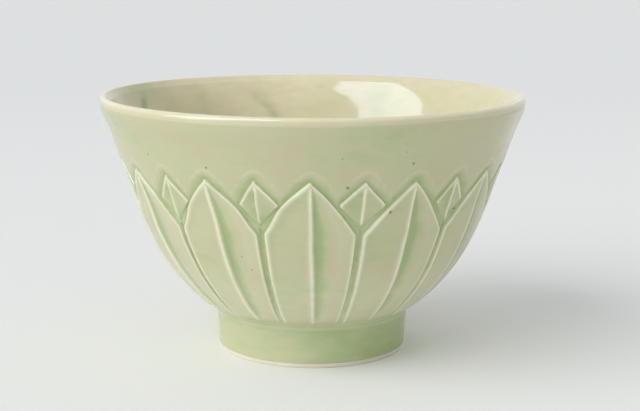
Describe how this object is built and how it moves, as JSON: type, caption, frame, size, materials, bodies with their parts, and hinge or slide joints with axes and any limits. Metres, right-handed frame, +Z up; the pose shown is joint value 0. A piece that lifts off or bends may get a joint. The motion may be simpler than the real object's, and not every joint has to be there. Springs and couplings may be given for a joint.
{
  "type": "rice bowl",
  "caption": "Footed rice bowl of carved stoneware with a belt of overlapping lotus petals, a plain band and a rolled lip under a soft green glaze.",
  "frame": {"origin": "centre of the foot's standing ring, on the surface that the bowl stands on", "axes": "+Z up along the bowl's axis; -Y towards the front, where the midrib of one large petal lies; +X to the right seen from the front"},
  "size_m": [0.1192, 0.1192, 0.0728],
  "materials": {
    "bare_clay": "unglazed stoneware, matt and slightly gritty",
    "outer_glaze": "satin-gloss ash celadon, pale on the carved crests and green where it pools",
    "lip_glaze": "thin glossy glaze that breaks to cream",
    "inner_glaze": "glossy ash celadon",
    "foot_glaze": "satin-gloss ash celadon, pooled green under the petals",
    "base_glaze": "satin-gloss ash celadon"
  },
  "bodies": {
    "root": {"clay_body": "bare_clay", "outer_glaze": "outer_glaze", "lip_glaze": "lip_glaze", "inner_glaze": "inner_glaze", "foot_glaze": "foot_glaze", "base_glaze": "base_glaze"}
  },
  "joints": []
}
